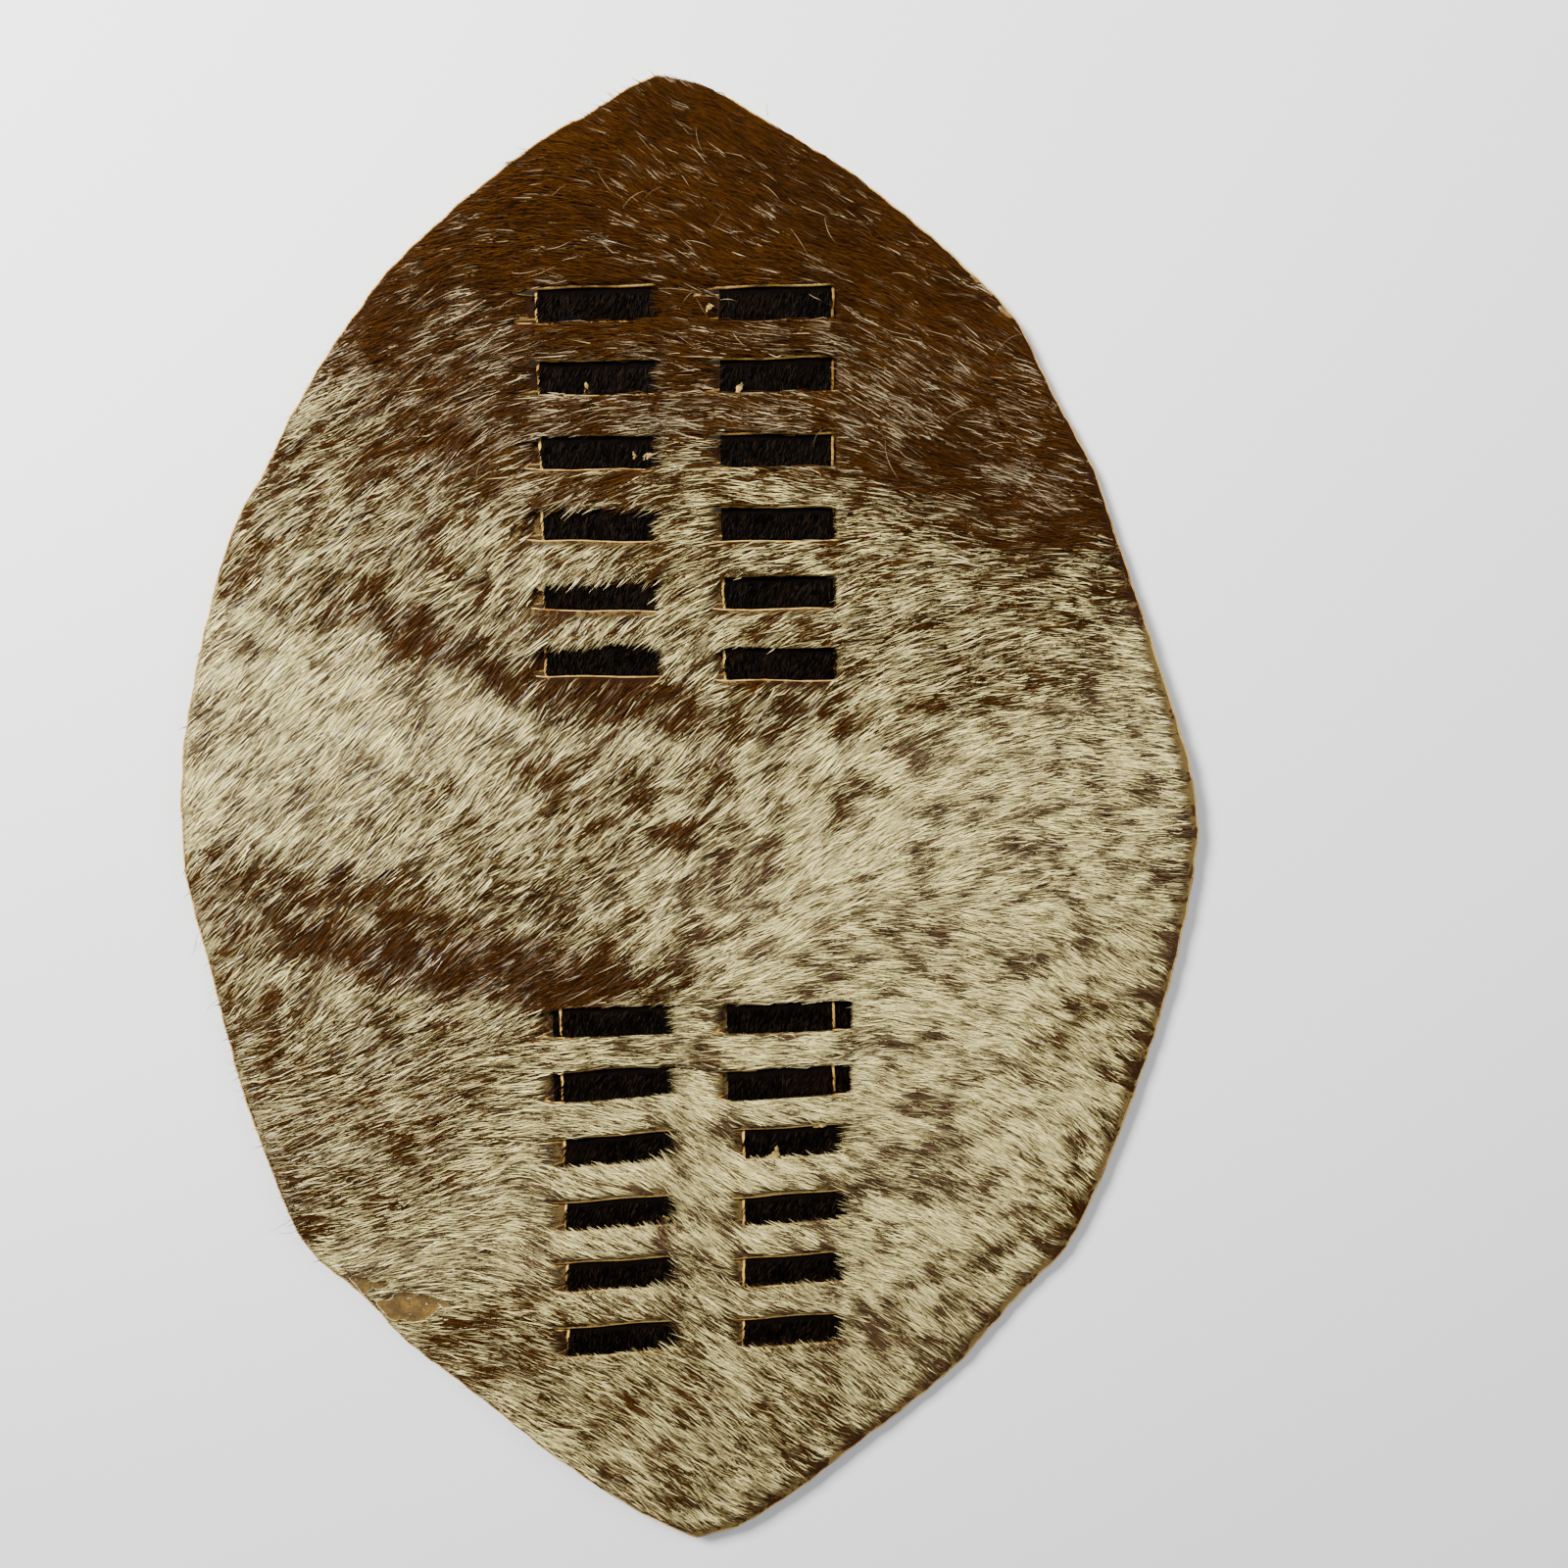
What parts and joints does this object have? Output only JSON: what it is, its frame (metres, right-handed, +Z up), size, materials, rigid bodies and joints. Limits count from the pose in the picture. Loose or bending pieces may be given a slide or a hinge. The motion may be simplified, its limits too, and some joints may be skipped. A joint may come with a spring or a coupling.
{
  "type": "hide shield",
  "caption": "Pointed oval shield of hair-on hide, laced through two columns of slits with black hide strips, lying hair side up",
  "frame": {"origin": "on the surface that the shield lies on, below the middle of its length and width", "axes": "+Y along the shield towards its top tip, +X to the right as seen from the hair side, +Z up out of the hair side"},
  "size_m": [0.449, 0.654, 0.0145],
  "materials": {
    "roan_hide": "dried hide with short brown and cream roan hair, tan cut edges and a bare flesh side",
    "black_hide": "dried hide with short black hair, tan cut edges and a bare flesh side"
  },
  "bodies": {
    "root": {"shield_hide": "roan_hide", "upper_left_strip": "black_hide", "upper_right_strip": "black_hide", "lower_left_strip": "black_hide", "lower_right_strip": "black_hide"}
  },
  "joints": []
}
